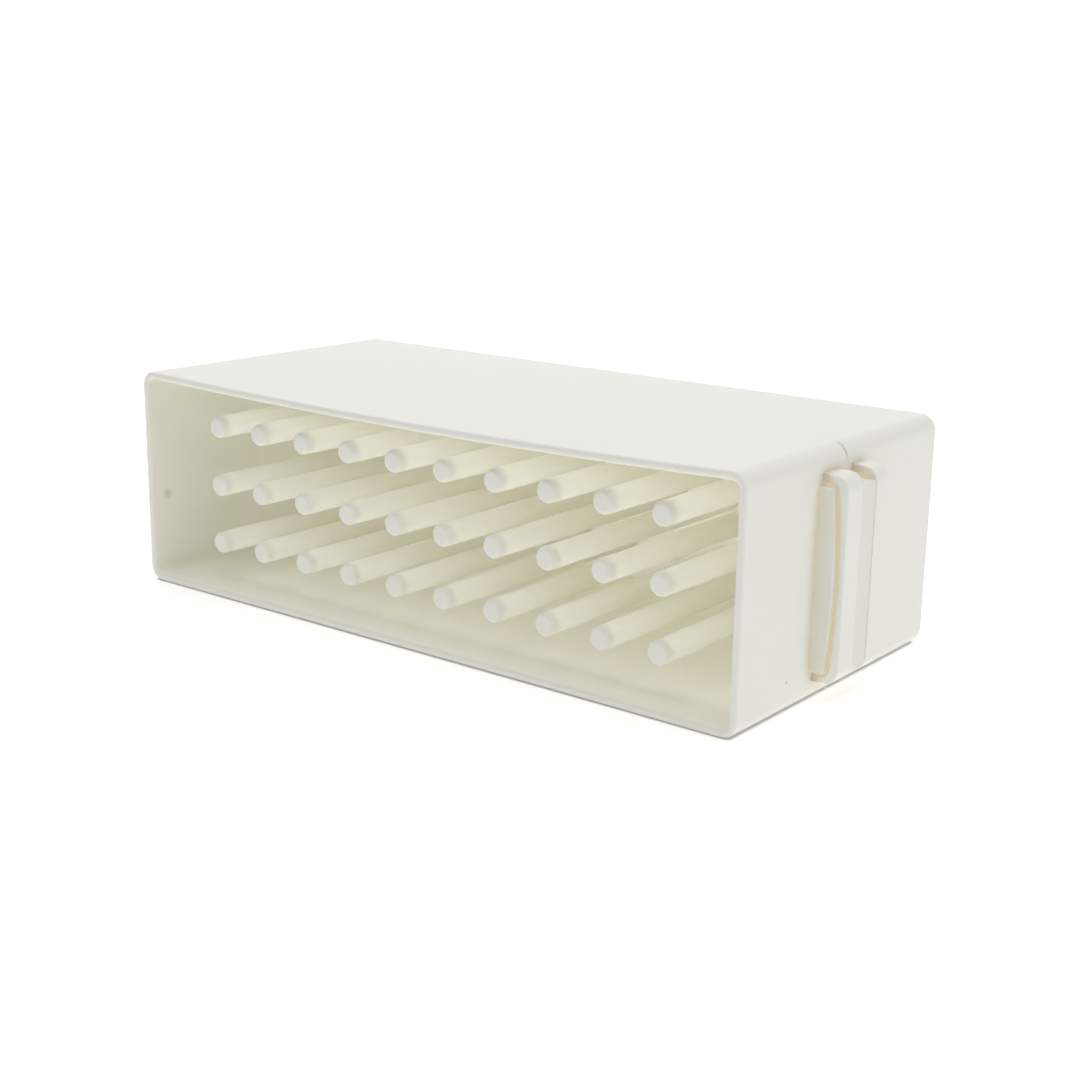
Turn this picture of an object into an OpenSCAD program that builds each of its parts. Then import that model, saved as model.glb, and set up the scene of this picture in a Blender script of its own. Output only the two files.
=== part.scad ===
// Two-part loaf mould with core pins, lying on one long side, mouth forwards.
// X runs along the loaf, Y from the mouth (-) to the base (+), Z up.
// The origin is under the middle of the box, on the surface it lies on.

/* [Box] */
// Outer length of the box, end wall to end wall
box_length = 240; // [200:1:300]
// Outer width of the mouth, long wall to long wall
box_width = 73.5; // [61:0.5:90]
// Depth of the collar, mouth to seam
collar_depth = 53.5; // [44:0.5:66]
// Depth of the base tub, seam to the face it stands on
base_depth = 57; // [47:0.5:70]
// Thickness of the four walls
wall = 2.5; // [2:0.1:3.5]
// Thickness of the tub's floor
floor_t = 5; // [4:0.5:8]
// Outer radius of the four long edges
corner_r = 5; // [4:0.5:8]

/* [Seam] */
// Height of the tub's inner lip, which the collar's rebate drops over
lip_height = 4; // [2:0.5:8]
// Thickness of that lip
lip_t = 1.1; // [0.8:0.1:1.4]
// Gap between lip and rebate, at the side and at the end
lip_gap = 0.15; // [0.1:0.05:0.3]
// How far the tub's rim is eased back at its four corners
corner_ease = 0.9; // [0.3:0.1:1.5]
// How far that easing runs on past each rounded corner
ease_run = 1; // [0:0.5:3]

/* [Core pins] */
// Pins along the length
pin_cols = 10; // [2:1:10]
// Pins across the width
pin_rows = 3; // [1:1:3]
// Distance between neighbouring pins, both ways
pin_pitch = 20; // [16:0.5:24]
// Diameter at the tip
pin_tip_d = 7.2; // [5:0.1:9]
// Diameter at the floor
pin_root_d = 8; // [6:0.1:10]
// Distance from the mouth down to the tips
pin_recess = 5.9; // [3:0.1:12]
// Radius of the rounded edge around a tip
pin_tip_round = 1.3; // [0.3:0.1:2]
// Depth of the blind socket that holds a pin's foot
pin_socket = 3; // [2:0.5:3.5]
// Radial gap between a pin's foot and its socket
pin_fit = 0.05; // [0.03:0.01:0.1]

/* [Loops] */
// How far the loops stand out from the end walls
loop_reach = 8.3; // [7:0.1:12]
// Distance from each long wall's outer face to a loop
loop_margin = 6.5; // [5.5:0.1:10]
// Thickness of a loop's upper and lower arms
loop_arm = 2.3; // [1.8:0.1:3.5]
// Thickness of a loop's outer bar at mid-width
loop_bar = 1.7; // [1.2:0.1:3]
// Outer corner radius of a loop
loop_corner_r = 4.5; // [2:0.1:5]
// Depth of the collar's loops
collar_loop_depth = 8.8; // [6:0.1:12]
// Distance from the seam back to the collar's loops
collar_loop_setback = 4.6; // [3:0.1:8]
// Depth of the tub's loops
base_loop_depth = 7.1; // [6:0.1:12]
// Distance from the seam on to the tub's loops
base_loop_setback = 3.3; // [2:0.1:8]

/* [Locking keys] */
// Gap between key and window above and below
key_end_gap = 1.2; // [0.5:0.1:2]
// Gap between the key's bowed side and the window's outer side
key_bow_gap = 0.8; // [0.5:0.1:1.2]
// Gap between key and end wall
key_wall_gap = 0.2; // [0.1:0.05:0.5]
// Rise of the bow over the height of a window
bow_rise = 1.6; // [0.8:0.1:2]
// How far each head stands out past its loop
key_proud = 1.9; // [1:0.1:3]
// Gap between the centre block and the collar's loop
block_front_gap = 0.1; // [0.05:0.05:0.5]
// Gap between the centre block and the tub's loop
block_rear_gap = 0.35; // [0.1:0.05:0.8]
// How far the block's outer face lies inside the loops' outer faces
block_inset = 0.2; // [0:0.1:1]
// Corner radius of the centre block
block_corner_r = 0.8; // [0.3:0.1:2]

/* [Hidden] */
$fn = 96;
cut = 1;                                   // overshoot of a cutting shape

// Stations along Y
y_mouth = -(collar_depth + base_depth) / 2;
y_seam = y_mouth + collar_depth;
y_base = y_seam + base_depth;
y_floor = y_base - floor_t;
y_tip = y_mouth + pin_recess;

// Stations along X and Z
x_end = box_length / 2;
z_mid = box_width / 2;
loop_low = loop_margin;
loop_height = box_width - 2 * loop_margin;
window_low = loop_low + loop_arm;
window_height = loop_height - 2 * loop_arm;
window_peak = loop_reach - loop_bar;

// Loops and keys along Y
collar_loop_front = y_seam - collar_loop_setback - collar_loop_depth;
collar_loop_rear = y_seam - collar_loop_setback;
base_loop_front = y_seam + base_loop_setback;
base_loop_rear = base_loop_front + base_loop_depth;
key_front = collar_loop_front - key_proud;
key_rear = base_loop_rear + key_proud;
block_front = collar_loop_rear + block_front_gap;
block_rear = base_loop_front - block_rear_gap;

// The key's section
key_low = window_low + key_end_gap;
key_height = window_height - 2 * key_end_gap;
key_peak = window_peak - key_bow_gap;

// The lip's place in the wall's thickness
lip_inset = wall - lip_t;
rebate_inset = lip_inset - lip_gap;

function pin_x(col) = (col - (pin_cols + 1) / 2) * pin_pitch;
function pin_z(row) = z_mid + (row - (pin_rows + 1) / 2) * pin_pitch;
function pin_name(row, col) = str("core_pin_r", row, "_c", col);

// Extrudes an outline drawn in X and Z from one station on Y to another
module along_y(from, to) {
    translate([0, to, 0]) rotate([90, 0, 0]) linear_extrude(height = to - from) children();
}

// A rectangle with rounded corners, centred on X and standing on Z = 0
module rounded_outline(width, height, r) {
    translate([-width / 2 + r, 0]) square([width - 2 * r, height]);
    translate([-width / 2, r]) square([width, height - 2 * r]);
    for (side = [-1, 1], z = [r, height - r])
        translate([side * (width / 2 - r), z]) circle(r = r);
}

// The box's outline, moved inwards by an inset
module box_outline(inset) {
    translate([0, inset])
        rounded_outline(box_length - 2 * inset, box_width - 2 * inset, corner_r - inset);
}

// The rim's outline: square bites at the corners leave only the lip's width there
module eased_outline() {
    bite = corner_r + ease_run;
    difference() {
        box_outline(0);
        for (side = [-1, 1], z = [0, box_width])
            translate([side * x_end, z]) square(2 * bite, center = true);
    }
    box_outline(lip_inset);
}

// A strip that starts at the end wall and bows outwards to a peak at mid-width
module bowed_outline(start, peak, low, height) {
    bow_r = (pow(window_height / 2, 2) + pow(bow_rise, 2)) / (2 * bow_rise);
    intersection() {
        translate([start, low]) square([peak - start, height]);
        translate([peak - bow_r, low + height / 2]) circle(r = bow_r, $fn = 720);
    }
}

// Half of a rounded outline: what stands out from the end wall, from a gap outwards
module bracket_outline(gap, reach, low, height, r) {
    intersection() {
        translate([0, low]) rounded_outline(2 * reach, height, r);
        translate([gap, low]) square([reach - gap, height]);
    }
}

// A loop's outline on the right-hand end wall, measured from the wall's face
module loop_outline() {
    difference() {
        bracket_outline(0, loop_reach, loop_low, loop_height, loop_corner_r);
        bowed_outline(-cut, window_peak, window_low, window_height);
    }
}

module end_loop(front, rear) {
    translate([x_end, 0, 0]) along_y(front, rear) loop_outline();
}

module collar_loop() { end_loop(collar_loop_front, collar_loop_rear); }

module base_loop() { end_loop(base_loop_front, base_loop_rear); }

// The key: a solid tongue with a bowed outer side, through both loops, and a taller centre block
module locking_key() {
    translate([x_end, 0, 0]) {
        along_y(key_front, key_rear)
            bowed_outline(key_wall_gap, key_peak, key_low, key_height);
        along_y(block_front, block_rear)
            bracket_outline(key_wall_gap, loop_reach - block_inset, key_low, key_height, block_corner_r);
    }
}

// The open frame between mouth and seam, rebated inside to drop over the lip
module collar_frame() {
    color("ivory") difference() {
        along_y(y_mouth, y_seam) box_outline(0);
        along_y(y_mouth - cut, y_seam + cut) box_outline(wall);
        along_y(y_seam - lip_height - lip_gap, y_seam + cut) box_outline(rebate_inset);
    }
}

// The closed half: floor, walls, inner lip and one blind socket per pin
module base_tub() {
    color("ivory") difference() {
        union() {
            along_y(y_seam + corner_ease, y_base) box_outline(0);
            along_y(y_seam, y_seam + corner_ease) eased_outline();
            along_y(y_seam - lip_height, y_seam) box_outline(lip_inset);
        }
        along_y(y_seam - lip_height - cut, y_floor) box_outline(wall);
        for (row = [1:pin_rows], col = [1:pin_cols])
            translate([pin_x(col), y_floor + pin_socket, pin_z(row)]) rotate([90, 0, 0])
                cylinder(r = pin_root_d / 2 + pin_fit, h = pin_socket + cut);
    }
}

// A core pin: a straight foot in its socket, then a slight draft up to a rounded tip
module core_pin(row, col) {
    length = y_floor + pin_socket - y_tip;
    tip_r = pin_tip_d / 2;
    root_r = pin_root_d / 2;
    shoulder = length - pin_tip_round;
    color("ivory")
        translate([pin_x(col), y_floor + pin_socket, pin_z(row)]) rotate([90, 0, 0])
            rotate_extrude() {
                polygon([[0, 0], [root_r, 0], [root_r, pin_socket], [tip_r, shoulder], [0, shoulder]]);
                square([tip_r - pin_tip_round, length]);
                intersection() {
                    translate([tip_r - pin_tip_round, shoulder]) circle(r = pin_tip_round);
                    square([tip_r, length]);
                }
            }
}

module collar_loop_right() { color("ivory") collar_loop(); }
module collar_loop_left() { color("ivory") mirror([1, 0, 0]) collar_loop(); }
module base_loop_right() { color("ivory") base_loop(); }
module base_loop_left() { color("ivory") mirror([1, 0, 0]) base_loop(); }
module locking_key_right() { color("linen") locking_key(); }
module locking_key_left() { color("linen") mirror([1, 0, 0]) locking_key(); }

base_tub();
base_loop_left();
base_loop_right();
collar_frame();
collar_loop_left();
collar_loop_right();
locking_key_left();
locking_key_right();
for (row = [1:pin_rows], col = [1:pin_cols])
    core_pin(row, col);
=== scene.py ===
# %% [markdown]
# # A two-part soap loaf mould with core pins
# The mould is a plain box in ivory printed plastic, lying on one long side with its mouth towards us.
# A collar drops over the lip of a closed tub, thirty straight pins rise from the tub's floor, and at
# each end a locking key passes through two loops, one on the collar and one on the tub.
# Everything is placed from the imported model, so the first step is to load it and keep its box.

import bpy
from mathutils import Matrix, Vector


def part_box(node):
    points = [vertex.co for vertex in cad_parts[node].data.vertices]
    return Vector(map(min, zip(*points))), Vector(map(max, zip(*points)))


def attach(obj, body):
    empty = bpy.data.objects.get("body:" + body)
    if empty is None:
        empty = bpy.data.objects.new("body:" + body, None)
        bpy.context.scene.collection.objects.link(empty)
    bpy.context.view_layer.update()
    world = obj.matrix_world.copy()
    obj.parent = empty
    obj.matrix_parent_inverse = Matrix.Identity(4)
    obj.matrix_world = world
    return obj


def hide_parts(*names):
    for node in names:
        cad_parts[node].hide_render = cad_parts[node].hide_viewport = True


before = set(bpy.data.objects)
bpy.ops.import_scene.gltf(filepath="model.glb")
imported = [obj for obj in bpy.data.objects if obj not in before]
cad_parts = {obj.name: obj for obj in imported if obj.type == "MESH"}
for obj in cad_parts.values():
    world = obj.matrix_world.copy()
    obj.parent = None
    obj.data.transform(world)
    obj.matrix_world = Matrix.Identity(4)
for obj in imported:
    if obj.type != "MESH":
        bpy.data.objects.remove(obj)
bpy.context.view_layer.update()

# %% Modules and units
from math import atan2, cos, radians, sin

import bmesh
import bpy
from mathutils import Euler, Matrix, Vector

MM = 0.001
SLACK = 0.01 * MM
WELD = 0.001 * MM

# %% [markdown]
# ## Camera
# The camera stands to the right of the mouth and a little above it. A real camera has a place, a
# direction and a lens, so those are the named values here. The direction is two angles and a slight
# roll, which is easier to read and to correct than a rotation matrix.

# %% Camera
CAMERA_PLACE = Vector((336.8, -419.2, 167.1)) * MM
CAMERA_AZIMUTH = 37.95
CAMERA_ELEVATION = 14.91
CAMERA_ROLL = 0.88
CAMERA_LENS = 56.08

lens = bpy.data.cameras.new("camera")
lens.lens = CAMERA_LENS
lens.sensor_width = 36
lens.clip_start = 0.01
camera = bpy.data.objects.new("camera", lens)
bpy.context.collection.objects.link(camera)
aim = Euler((radians(90 - CAMERA_ELEVATION), 0, radians(CAMERA_AZIMUTH))).to_matrix()
aim = aim @ Matrix.Rotation(radians(CAMERA_ROLL), 3, "Z")
camera.matrix_world = Matrix.Translation(CAMERA_PLACE) @ aim.to_4x4()
bpy.context.scene.camera = camera
print("camera at", [round(c, 3) for c in CAMERA_PLACE])

# %% [markdown]
# ## Sizes
# The stations along the mould come from the nodes' own boxes. Only what a box can't tell, such as a
# wall's thickness or the radius of an edge, is a named value of its own.

# %% Sizes
WALL = 2.5 * MM
CORNER = 5 * MM
LIP = 1.1 * MM
LIP_HEIGHT = 4 * MM
LIP_GAP = 0.15 * MM
FLOOR = 5 * MM
CORNER_EASE = 0.9 * MM

collar_low, collar_high = (Vector(c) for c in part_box("collar_frame"))
tub_low, tub_high = (Vector(c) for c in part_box("base_tub"))
HALF_LENGTH = collar_high.x
WIDTH = collar_high.z - collar_low.z
MIDDLE = WIDTH / 2
MOUTH = collar_low.y
SEAM = collar_high.y
BASE = tub_high.y
print(f"mould {2 * HALF_LENGTH / MM:.1f} x {(BASE - MOUTH) / MM:.1f} x {WIDTH / MM:.1f} mm")

# %% [markdown]
# ## Helpers for every piece
# Each piece is modelled in a bmesh and then handed over once. Handing over turns the normals out,
# shades it smooth with flat faces kept flat, ties it to the moving body, names it after the node it
# stands for and hides that node. A weighted-normal modifier keeps wide faces flat beside narrow rounded
# edges.

# %% Hand a finished bmesh over
def hand_over(bm, node, body, finish):
    bmesh.ops.recalc_face_normals(bm, faces=bm.faces)
    mesh = bpy.data.meshes.new(node + "_print")
    bm.to_mesh(mesh)
    bm.free()
    mesh.shade_smooth()
    mesh.materials.append(finish)
    piece = bpy.data.objects.new(node + "_print", mesh)
    bpy.context.collection.objects.link(piece)
    piece.modifiers.new("flat_faces_stay_flat", "WEIGHTED_NORMAL")
    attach(piece, body)
    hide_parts(node)
    return piece


# %% Shapes and edge choices
def block(low, high):
    bm = bmesh.new()
    bmesh.ops.create_cube(bm, size=1)
    bmesh.ops.scale(bm, vec=high - low, verts=bm.verts)
    bmesh.ops.translate(bm, vec=(low + high) / 2, verts=bm.verts)
    return bm


def round_edges(bm, edges, radius, segments):
    return bmesh.ops.bevel(bm, geom=edges, offset=radius, offset_type="OFFSET", affect="EDGES",
                           segments=segments, profile=0.5, material=-1, clamp_overlap=True)


def runs_along_y(edge):
    return abs(edge.verts[0].co.y - edge.verts[1].co.y) > MM


def lies_at(element, y):
    return all(abs(v.co.y - y) < SLACK for v in element.verts)


def rim_edges(bm, y):
    return [e for e in bm.edges if lies_at(e, y) and any(not lies_at(f, y) for f in e.link_faces)]


def cut_across(bm, point, direction):
    bmesh.ops.bisect_plane(bm, geom=bm.verts[:] + bm.edges[:] + bm.faces[:], plane_co=point,
                           plane_no=direction, dist=WELD)


def face_at(bm, y):
    return max((f for f in bm.faces if lies_at(f, y)), key=lambda f: f.calc_area())


def inset(bm, face, thickness):
    bmesh.ops.inset_region(bm, faces=[face], thickness=thickness, use_even_offset=True)
    return face


def push(bm, face, distance):
    moved = bmesh.ops.extrude_discrete_faces(bm, faces=[face])["faces"][0]
    bmesh.ops.translate(bm, vec=(0, distance, 0), verts=moved.verts)
    return moved


# %% [markdown]
# ## Printed ivory plastic
# The real surface is matt ivory plastic laid down in fine layers. The layers stack from the base to the
# mouth, so every wall and pin carries faint lines across that direction. A flat colour would look like
# clay, so the finish mixes three things on the object's own coordinates: bands along Y for the
# layers, a slow mottle for uneven colour, and a fine grain that breaks up the gloss. Shade is painted
# on top of that. Gaps and inner corners lie in shade, and light that has passed through thin plastic
# comes out warmer there, so the colour is darkened towards a warm tone wherever a surface is closed in
# by others within a few millimetres. The deepest gaps get a weak painted glow. Scattering inside the
# plastic would be truer, but it greys thin edges and seams, so this warm shade is painted instead.
# Shader maths is written as ordinary expressions, through one class that wraps a socket.

# %% A socket that can be written in an expression
class Value:
    def __init__(self, tree, socket):
        self.tree = tree
        self.socket = socket

    def math(self, operation, first, second=0.0):
        return node(self.tree, "ShaderNodeMath", {"operation": operation}, {0: first, 1: second})

    def __add__(self, other):
        return self.math("ADD", self, other)

    def __mul__(self, other):
        return self.math("MULTIPLY", self, other)

    __radd__ = __add__
    __rmul__ = __mul__


def node(tree, kind, settings, sockets, output=0):
    made = tree.nodes.new(kind)
    for name, value in settings.items():
        setattr(made, name, value)
    for key, value in sockets.items():
        if isinstance(value, Value):
            tree.links.new(value.socket, made.inputs[key])
        else:
            made.inputs[key].default_value = value
    return Value(tree, made.outputs[output])


# %% [markdown]
# The finish takes a base colour, a warmer colour to mottle it with, and how far it looks for closed-in
# surfaces to paint shade into. Near the floor the painted shade fades out, because the paper and not
# the plastic closes in there. The keys get a darker copy of the ivory and a longer reach, which is
# painted shade, as they sit in shade against the end walls. The collar also carries two small real
# blemishes, a smudge inside and a dark speck outside.

# %% The ivory print finish, with painted shade and glow
LAYER = 0.2 * MM
IVORY = (0.938, 0.936, 0.880, 1)
IVORY_WARM = (0.928, 0.922, 0.856, 1)
# Painted shade: the keys are the same ivory, given a darker colour because they lie in shade.
SHADED_KEY_IVORY = (0.875, 0.865, 0.800, 1)
SHADED_KEY_IVORY_WARM = (0.865, 0.850, 0.765, 1)
# How far the painted shade and glow look for closed-in surfaces.
CREVICE = 5 * MM
KEY_SHADE_REACH = 9 * MM
# Painted shade colour for gaps and inner corners, and a painted glow for the deepest gaps.
CREVICE_PAINTED_SHADE = (0.84, 0.78, 0.64, 1)
CREVICE_GLOW = (0.125, 0.130, 0.135, 1)
BLACK = (0, 0, 0, 1)
MARK_GREY = (0.18, 0.18, 0.17, 1)
SMUDGE_INSIDE = ((-117.5 * MM, -48.5 * MM, 29.5 * MM), 2.6 * MM, 0.5)
SPECK_ON_END = ((120 * MM, -29.1 * MM, 9.9 * MM), 0.45 * MM, 1.6)


def mapped(tree, place, scale):
    return node(tree, "ShaderNodeMapping", {}, {"Vector": place, "Scale": scale})


def noise(tree, place, scale, detail=2.0):
    return node(tree, "ShaderNodeTexNoise", {}, {"Vector": place, "Scale": scale, "Detail": detail})


def blend(tree, amount, first, second):
    return node(tree, "ShaderNodeMix", {"data_type": "RGBA"}, {0: amount, 6: first, 7: second}, 2)


def ranged(tree, value, start, end):
    return node(tree, "ShaderNodeMapRange", {}, {"Value": value, "From Min": start, "From Max": end})


def ivory_print(name, base=IVORY, warm=IVORY_WARM, shade_reach=CREVICE, marks=()):
    material = bpy.data.materials.new(name)
    material.use_nodes = True
    tree = material.node_tree
    shader = tree.nodes["Principled BSDF"]
    place = node(tree, "ShaderNodeTexCoord", {}, {}, "Object")
    bands = noise(tree, mapped(tree, place, (0.02, 1, 0.02)), 0.35 / MM, 3.0)
    layers = noise(tree, mapped(tree, place, (0.01, 1, 0.01)), 0.5 / LAYER, 0.0)
    mottle = noise(tree, place, 0.03 / MM)
    grain = noise(tree, place, 1.6 / MM)
    tint = mottle * 0.6 + bands * 0.4
    colour = blend(tree, tint, base, warm)
    open_air = node(tree, "ShaderNodeAmbientOcclusion", {"samples": 6}, {"Distance": shade_reach}, 1)
    height = node(tree, "ShaderNodeSeparateXYZ", {}, {"Vector": place}, "Z")
    off_floor = ranged(tree, height, 0, CREVICE)
    # Painted shade in gaps and inner corners, then a painted glow in the deepest gaps.
    painted_shade = ranged(tree, open_air, 0.9, 0.3) * off_floor
    colour = blend(tree, painted_shade * 0.9, colour, CREVICE_PAINTED_SHADE)
    deep_inside = ranged(tree, open_air, 0.4, 0.05) * off_floor
    glow = blend(tree, deep_inside, BLACK, CREVICE_GLOW)
    tree.links.new(glow.socket, shader.inputs["Emission Color"])
    shader.inputs["Emission Strength"].default_value = 1
    material.cycles.emission_sampling = "NONE"
    for centre, radius, strength in marks:
        away = node(tree, "ShaderNodeVectorMath", {"operation": "DISTANCE"}, {0: place, 1: centre}, 1)
        inside = node(tree, "ShaderNodeMapRange", {"interpolation_type": "SMOOTHSTEP"},
                      {"Value": away, "From Min": radius, "From Max": radius * 0.2})
        colour = blend(tree, inside * grain * strength, colour, MARK_GREY)
    tree.links.new(colour.socket, shader.inputs["Base Color"])
    roughness = grain * 0.1 + bands * 0.08 + 0.44
    tree.links.new(roughness.socket, shader.inputs["Roughness"])
    relief = layers * 0.5 + bands * 0.6 + grain * 0.35
    bump = node(tree, "ShaderNodeBump", {},
                {"Strength": 0.35, "Distance": 0.03 * MM, "Height": relief})
    tree.links.new(bump.socket, shader.inputs["Normal"])
    shader.inputs["IOR"].default_value = 1.46
    shader.inputs["Specular IOR Level"].default_value = 0.35
    return material


collar_finish = ivory_print("ivory_print_collar", marks=[SMUDGE_INSIDE, SPECK_ON_END])
tub_finish = ivory_print("ivory_print_tub")
pin_finish = ivory_print("ivory_print_pins")
# The keys' finish is a darker copy with a longer reach: painted shade.
shaded_key_finish = ivory_print("ivory_print_keys_shaded", SHADED_KEY_IVORY, SHADED_KEY_IVORY_WARM, KEY_SHADE_REACH)
print("finishes:", [m.name for m in bpy.data.materials if m.name.startswith("ivory")])

# %% [markdown]
# ## The collar
# The collar is the open frame at the mouth. It could be four plates, but a real one is a single skin
# with rounded corners inside and out. So it starts as a solid block with its long edges rounded, both
# ends are inset by the wall's thickness, and the two inner faces are bridged to open it right through.
# At the seam the inset comes in two steps, which leaves the rebate that drops over the tub's lip.

# %% Collar
RIM_ROUND = 1.0 * MM
SEAM_ROUND = 0.12 * MM
CORNER_SEGMENTS = 10
REBATE = WALL - LIP - LIP_GAP

bm = block(Vector((-HALF_LENGTH, MOUTH, 0)), Vector((HALF_LENGTH, SEAM, WIDTH)))
round_edges(bm, [e for e in bm.edges if runs_along_y(e)], CORNER, CORNER_SEGMENTS)
mouth_inner = inset(bm, face_at(bm, MOUTH), WALL)
rebate_floor = push(bm, inset(bm, face_at(bm, SEAM), REBATE), -(LIP_HEIGHT + LIP_GAP))
rebate_inner = inset(bm, rebate_floor, WALL - REBATE)
tunnel = list(mouth_inner.edges) + list(rebate_inner.edges)
bmesh.ops.delete(bm, geom=[mouth_inner, rebate_inner], context="FACES_ONLY")
bmesh.ops.bridge_loops(bm, edges=tunnel)
round_edges(bm, rim_edges(bm, MOUTH), RIM_ROUND, 3)
round_edges(bm, rim_edges(bm, SEAM), SEAM_ROUND, 2)

# %% [markdown]
# Long thin printed walls settle inwards a little at their free edge, the upper one most. The lip holds
# them straight at the seam. The long walls are cut into strips, and each strip is moved by a smooth
# arch along the length that fades out towards the seam.

# %% The collar's long walls settle
SAG_ABOVE = 2.1 * MM
SAG_BELOW = 0.3 * MM
SAG_STRIPS = 24

for strip in range(1, SAG_STRIPS):
    cut_across(bm, (HALF_LENGTH * (2 * strip / SAG_STRIPS - 1), 0, 0), (1, 0, 0))
for v in bm.verts:
    arch = max(0, 1 - (v.co.x / (HALF_LENGTH - CORNER)) ** 2)
    arch = arch * (SEAM - v.co.y) / (SEAM - MOUTH)
    v.co.z += arch * (SAG_BELOW if v.co.z < MIDDLE else -SAG_ABOVE)
print("collar faces:", len(bm.faces))
hand_over(bm, "collar_frame", "collar", collar_finish)

# %% [markdown]
# ## The tub
# The tub is the closed half. It starts like the collar, but its seam end is built outwards first, which
# makes the lip, and then pushed in to the floor. Printed corners lift a little as they cool, so the
# rim is eased back at each rounded corner, most in the middle of the bend and nothing at its ends.

# %% Tub
CAVITY_FILLET = 0.8 * MM
BASE_ROUND = 0.5 * MM

bm = block(Vector((-HALF_LENGTH, SEAM, 0)), Vector((HALF_LENGTH, BASE, WIDTH)))
round_edges(bm, [e for e in bm.edges if runs_along_y(e)], CORNER, CORNER_SEGMENTS)
lip_end = push(bm, inset(bm, face_at(bm, SEAM), WALL - LIP), -LIP_HEIGHT)
floor_face = push(bm, inset(bm, lip_end, LIP), LIP_HEIGHT + BASE - SEAM - FLOOR)
round_edges(bm, list(floor_face.edges), CAVITY_FILLET, 3)
round_edges(bm, list(face_at(bm, BASE).edges), BASE_ROUND, 3)
for v in bm.verts:
    out_x = abs(v.co.x) - (HALF_LENGTH - CORNER)
    out_z = abs(v.co.z - MIDDLE) - (MIDDLE - CORNER)
    if abs(v.co.y - SEAM) < SLACK and out_x > 0 and out_z > 0:
        v.co.y += CORNER_EASE * max(0.0, sin(2 * atan2(out_z, out_x)))
print("tub faces:", len(bm.faces))
hand_over(bm, "base_tub", "tub", tub_finish)

# %% [markdown]
# ## Core pins
# A core pin leaves a round hole in the soap. Each is a long cylinder with a slight draft, so that the
# soap draws off, and a flat tip with a rounded edge. One function makes a pin from its node's box, and
# a loop makes all thirty.

# %% Core pins
PIN_TIP_RADIUS = 3.6 * MM
PIN_TIP_ROUND = 1.3 * MM
PIN_SIDES = 48


def core_pin(node_name):
    low, high = (Vector(c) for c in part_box(node_name))
    length = high.y - low.y
    bm = bmesh.new()
    bmesh.ops.create_cone(bm, cap_ends=True, cap_tris=False, segments=PIN_SIDES, depth=length,
                          radius1=(high.x - low.x) / 2, radius2=PIN_TIP_RADIUS)
    bmesh.ops.rotate(bm, cent=(0, 0, 0), matrix=Matrix.Rotation(radians(90), 3, "X"), verts=bm.verts)
    bmesh.ops.translate(bm, vec=(low + high) / 2, verts=bm.verts)
    round_edges(bm, list(face_at(bm, low.y).edges), PIN_TIP_ROUND, 5)
    return hand_over(bm, node_name, "tub", pin_finish)


pins = [core_pin(name) for name in sorted(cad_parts) if name.startswith("core_pin")]
print("core pins:", len(pins))

# %% [markdown]
# ## Loops
# A loop is a bent bar: out from the end wall, along it, and back. It is modelled as it would be bent.
# The block's outer faces are kept as a sheet, its two corners are rounded, and the solidify operator
# gives the sheet the bar's thickness. Then the inside of the long bar is bowed, with a deep bow that
# matches the key passing through it. Only then are the edges rounded.

# %% Loops
LOOP_ARM = 2.3 * MM
LOOP_BAR = 1.7 * MM
LOOP_CORNER = 4.5 * MM
LOOP_EDGE = 0.45 * MM
BOW_RISE = 1.6 * MM
BOW_CUTS = 15


def bowed(z, peak, half_height):
    return peak - BOW_RISE * ((z - MIDDLE) / half_height) ** 2


def place_on_end(bm, side):
    bmesh.ops.translate(bm, vec=(HALF_LENGTH, 0, 0), verts=bm.verts)
    if side < 0:
        bmesh.ops.scale(bm, vec=(-1, 1, 1), verts=bm.verts)


def sharp_edges(bm, least_angle=radians(50)):
    return [e for e in bm.edges if e.is_manifold and e.calc_face_angle(0) > least_angle]


def end_loop(node_name, body, finish):
    low, high = (Vector(c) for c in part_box(node_name))
    side = 1 if high.x > 0 else -1
    reach = max(high.x, -low.x) - HALF_LENGTH
    bm = block(Vector((0, low.y, low.z)), Vector((reach, high.y, high.z)))
    open_sides = [f for f in bm.faces if lies_at(f, low.y) or lies_at(f, high.y)
                  or max(v.co.x for v in f.verts) < reach / 2]
    bmesh.ops.delete(bm, geom=open_sides, context="FACES")
    round_edges(bm, [e for e in bm.edges if runs_along_y(e) and e.is_manifold], LOOP_CORNER, 8)
    uprights = [e for e in bm.edges if abs(e.verts[0].co.z - e.verts[1].co.z) > 2 * LOOP_CORNER]
    bmesh.ops.subdivide_edges(bm, edges=uprights, cuts=BOW_CUTS, use_grid_fill=True)
    outside = [v.co.copy() for v in bm.verts]
    bmesh.ops.recalc_face_normals(bm, faces=bm.faces)
    bmesh.ops.solidify(bm, geom=bm.faces, thickness=LOOP_ARM)
    half_window = (high.z - low.z) / 2 - LOOP_ARM
    bend = reach - LOOP_CORNER
    for v in bm.verts:
        inner = min((v.co - o).length for o in outside) > LOOP_ARM / 2
        if inner and v.co.x > bend:
            along = (v.co.x - bend) / (reach - LOOP_ARM - bend)
            v.co.x = bend + along * (bowed(v.co.z, reach - LOOP_BAR, half_window) - bend)
    edges = [e for e in sharp_edges(bm) if max(v.co.x for v in e.verts) > SLACK]
    round_edges(bm, edges, LOOP_EDGE, 3)
    place_on_end(bm, side)
    return hand_over(bm, node_name, body, finish)


for end in ("left", "right"):
    end_loop("collar_loop_" + end, "collar", collar_finish)
    end_loop("base_loop_" + end, "tub", tub_finish)

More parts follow.
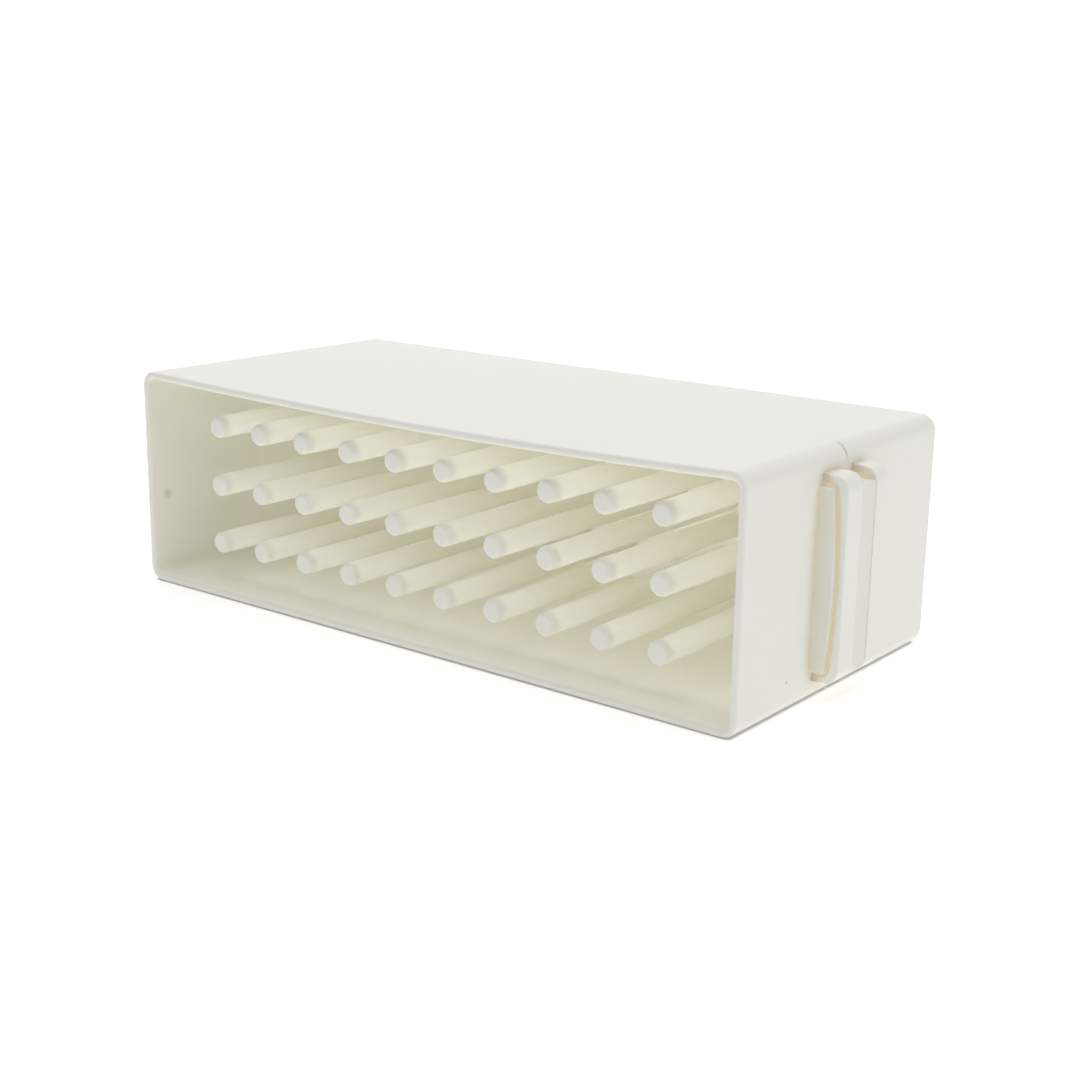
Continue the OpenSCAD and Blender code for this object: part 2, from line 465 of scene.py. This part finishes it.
# %% [markdown]
# ## Locking keys
# A key is one solid print: a block in the middle, held between the loops, and from each side of it a
# tongue that passes through a loop and stands out a little as a head. Two overlapping bars would look
# the same from outside but leave hidden faces. So the block's two faces are cut along the tongue's
# outline, and just that part is drawn out, which keeps the piece one closed skin. The tongues' outer
# side is then bowed, to follow the inside of the loops.

# %% Locking keys
KEY_WALL_GAP = 0.2 * MM
KEY_BOW_GAP = 0.8 * MM
KEY_EDGE = 0.3 * MM
BLOCK_GAP_FRONT = 0.1 * MM
BLOCK_GAP_REAR = 0.35 * MM


def draw_out(bm, start, end, reach):
    part = [f for f in bm.faces if lies_at(f, start) and f.calc_center_median().x < reach]
    made = bmesh.ops.extrude_face_region(bm, geom=part)["geom"]
    moved = [v for v in made if isinstance(v, bmesh.types.BMVert)]
    bmesh.ops.translate(bm, vec=(0, end - start, 0), verts=moved)
    bmesh.ops.delete(bm, geom=part, context="FACES")


def locking_key(end):
    low, high = (Vector(c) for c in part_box("locking_key_" + end))
    side = 1 if end == "right" else -1
    block_reach = max(high.x, -low.x) - HALF_LENGTH
    loop_low, loop_high = (Vector(c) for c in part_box("collar_loop_" + end))
    tub_loop_low = Vector(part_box("base_loop_" + end)[0])
    front = loop_high.y + BLOCK_GAP_FRONT
    rear = tub_loop_low.y - BLOCK_GAP_REAR
    peak = max(loop_high.x, -loop_low.x) - HALF_LENGTH - LOOP_BAR - KEY_BOW_GAP
    half_window = (loop_high.z - loop_low.z) / 2 - LOOP_ARM
    bm = block(Vector((KEY_WALL_GAP, front, low.z)), Vector((block_reach, rear, high.z)))
    cut_across(bm, (peak, 0, 0), (1, 0, 0))
    for step in range(1, BOW_CUTS):
        cut_across(bm, (0, 0, low.z + (high.z - low.z) * step / BOW_CUTS), (0, 0, 1))
    draw_out(bm, front, low.y, peak)
    draw_out(bm, rear, high.y, peak)
    for v in bm.verts:
        if abs(v.co.x - peak) < SLACK:
            v.co.x = bowed(v.co.z, peak, half_window)
    round_edges(bm, sharp_edges(bm), KEY_EDGE, 3)
    place_on_end(bm, side)
    return hand_over(bm, "locking_key_" + end, "key_" + end, shaded_key_finish)


keys = [locking_key(end) for end in ("left", "right")]
print("locking keys:", [key.name for key in keys])

# %% [markdown]
# ## Floor and light
# The stage is one sheet of white paper: a floor that curves up into a wall behind the mould, so that
# no horizon shows. It is turned to face the camera. It glows a little by itself, as lit paper does in
# a bright studio, so it stays white. Only a narrow line along the contact is darker. It is a painted
# contact shadow: where the mould closes the paper in, both its colour and its glow are turned down.

# %% Paper sweep
SWEEP_FRONT = -3.0
SWEEP_BACK = 2.2
SWEEP_BEND = 1.2
SWEEP_TOP = 3.6
SWEEP_WIDTH = 9.0
BEND_STEPS = 12
PAPER = (0.84, 0.84, 0.84, 1)
PAPER_SHADED = (0.50, 0.50, 0.50, 1)
PAPER_GLOW = 0.40
GLOW_SHADED = (0.4, 0.4, 0.4, 1)
CONTACT = 1.1 * MM
WHITE = (1, 1, 1, 1)

bm = bmesh.new()
line = [Vector((-SWEEP_WIDTH / 2, SWEEP_FRONT, 0)), Vector((-SWEEP_WIDTH / 2, SWEEP_BACK, 0))]
turn = radians(90) / BEND_STEPS
for step in range(1, BEND_STEPS + 1):
    along = SWEEP_BACK + SWEEP_BEND * sin(step * turn)
    line.append(Vector((-SWEEP_WIDTH / 2, along, SWEEP_BEND * (1 - cos(step * turn)))))
line.append(Vector((-SWEEP_WIDTH / 2, SWEEP_BACK + SWEEP_BEND, SWEEP_TOP)))
points = [bm.verts.new(place) for place in line]
edges = [bm.edges.new(pair) for pair in zip(points, points[1:])]
sheet = bmesh.ops.extrude_edge_only(bm, edges=edges)["geom"]
far_side = [v for v in sheet if isinstance(v, bmesh.types.BMVert)]
bmesh.ops.translate(bm, vec=(SWEEP_WIDTH, 0, 0), verts=far_side)
bmesh.ops.rotate(bm, matrix=Matrix.Rotation(radians(CAMERA_AZIMUTH), 3, "Z"), verts=bm.verts)
bmesh.ops.recalc_face_normals(bm, faces=bm.faces)
paper_mesh = bpy.data.meshes.new("paper_sweep")
bm.to_mesh(paper_mesh)
bm.free()
paper_mesh.shade_smooth()
paper = bpy.data.materials.new("white_paper")
paper.use_nodes = True
paper_tree = paper.node_tree
paper_shader = paper_tree.nodes["Principled BSDF"]
open_paper = node(paper_tree, "ShaderNodeAmbientOcclusion", {"samples": 8}, {"Distance": CONTACT}, 1)
# Painted contact shadow: the paper's colour and glow are darkened where the mould closes it in.
shaded = ranged(paper_tree, open_paper, 0.95, 0.5)
paper_colour = blend(paper_tree, shaded, PAPER, PAPER_SHADED)
paper_glow = blend(paper_tree, shaded, WHITE, GLOW_SHADED)
paper_tree.links.new(paper_colour.socket, paper_shader.inputs["Base Color"])
paper_tree.links.new(paper_glow.socket, paper_shader.inputs["Emission Color"])
paper_shader.inputs["Emission Strength"].default_value = PAPER_GLOW
paper_shader.inputs["Roughness"].default_value = 0.95
paper_mesh.materials.append(paper)
sweep = bpy.data.objects.new("paper_sweep", paper_mesh)
bpy.context.collection.objects.link(sweep)
print("paper sweep faces:", len(paper_mesh.polygons))

# %% [markdown]
# The light is a dim even surround, a large panel straight above that makes the upper side the
# brightest, a weaker one beside the end wall, and one that whitens the paper behind. Light that comes
# through the thin walls fills the real box. The finish is opaque, so a wide soft panel just behind the
# pin tips stands in for it. The plain view transform keeps the near-white plastic apart from the white
# paper, and more bounces let light fill the deep box.

# %% Light
SURROUND = 0.25
BOUNCES = 24
core_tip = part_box("core_pin_r1_c1")[0][1]


def panel(name, place, target, size, power):
    light = bpy.data.lights.new(name, "AREA")
    light.shape = "RECTANGLE"
    light.size = size[0]
    light.size_y = size[1]
    light.energy = power
    holder = bpy.data.objects.new(name, light)
    bpy.context.collection.objects.link(holder)
    direction = Vector(target) - Vector(place)
    turned = direction.to_track_quat("-Z", "Y").to_matrix().to_4x4()
    holder.matrix_world = Matrix.Translation(place) @ turned
    holder.visible_camera = False
    return light


world = bpy.data.worlds.new("surround")
world.use_nodes = True
world.node_tree.nodes["Background"].inputs["Color"].default_value = (1, 1, 1, 1)
world.node_tree.nodes["Background"].inputs["Strength"].default_value = SURROUND
bpy.context.scene.world = world
centre = (0, 0, MIDDLE)
paper_behind = (-2.1, 2.7, 1.2)
mouth_inside = (10 * MM, core_tip + 3 * MM, MIDDLE)
floor_inside = (10 * MM, 0, MIDDLE)
panel("panel_above", (0, -0.1, 1.7), centre, (2, 2), 18.4)
panel("panel_end", (1.7, 0.4, 0.9), centre, (1.2, 1.2), 4.4)
panel("panel_paper", (-0.6, 0.9, 2.4), paper_behind, (2, 1), 34)
glow_inside = panel("glow_inside", mouth_inside, floor_inside, (0.212, 0.062), 0.033)
glow_inside.spread = radians(100)
glow_inside.color = (0.93, 0.90, 1)
bpy.context.scene.view_settings.view_transform = "Standard"
bpy.context.scene.cycles.max_bounces = BOUNCES
bpy.context.scene.cycles.diffuse_bounces = BOUNCES
print("lights:", [light.name for light in bpy.data.lights])
